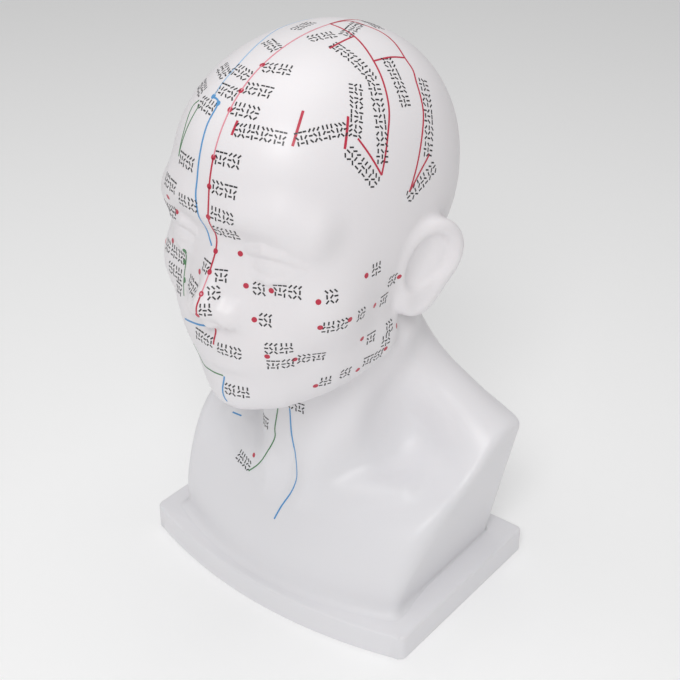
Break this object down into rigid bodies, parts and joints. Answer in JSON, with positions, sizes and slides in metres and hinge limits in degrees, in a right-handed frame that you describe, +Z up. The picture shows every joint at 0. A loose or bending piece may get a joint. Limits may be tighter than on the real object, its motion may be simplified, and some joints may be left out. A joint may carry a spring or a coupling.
{
  "type": "acupuncture teaching head",
  "caption": "Bald model head on a cut-off bust with a base plate, for showing points and lines on the face, scalp and neck.",
  "frame": {"origin": "middle of the base plate's underside, halfway between its straight back edge and its front corners", "axes": "the figure looks along -Y, its left side is +X and +Z is up"},
  "size_m": [0.15, 0.1317, 0.2489],
  "materials": {
    "pvc": "satin white moulded PVC, printed with fine lines and dots"
  },
  "bodies": {
    "root": {"head_bust": "pvc"}
  },
  "joints": []
}
